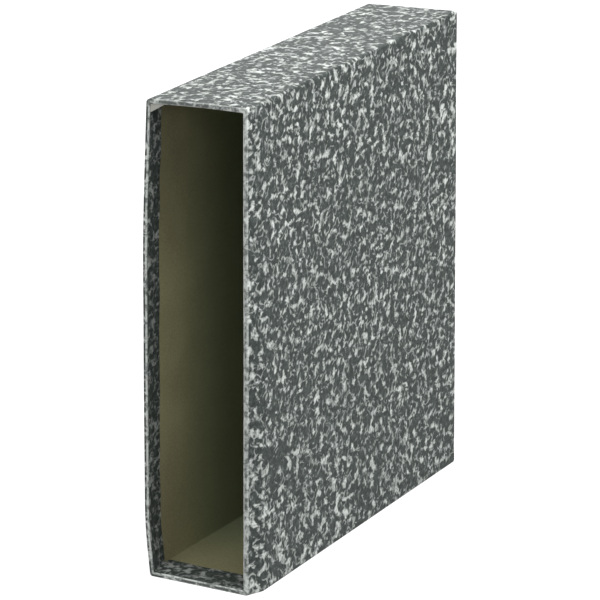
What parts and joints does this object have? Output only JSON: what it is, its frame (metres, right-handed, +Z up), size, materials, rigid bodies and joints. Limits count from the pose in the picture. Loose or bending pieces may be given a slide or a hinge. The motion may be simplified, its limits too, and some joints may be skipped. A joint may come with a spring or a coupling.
{
  "type": "box file",
  "caption": "Tall narrow box file of grey board, open along one edge, wrapped in marbled paper that turns in round the mouth.",
  "frame": {"origin": "middle of the underside of the box, measured over the bow of its left wall", "axes": "+Z up along the tall edges, -Y out of the open mouth, +X to the right seen from the mouth"},
  "size_m": [0.08, 0.288, 0.325],
  "materials": {
    "grey_board": "matte",
    "marbled_paper": "satin"
  },
  "bodies": {
    "root": {"board_case": "grey_board", "cover_paper": "marbled_paper"}
  },
  "joints": []
}
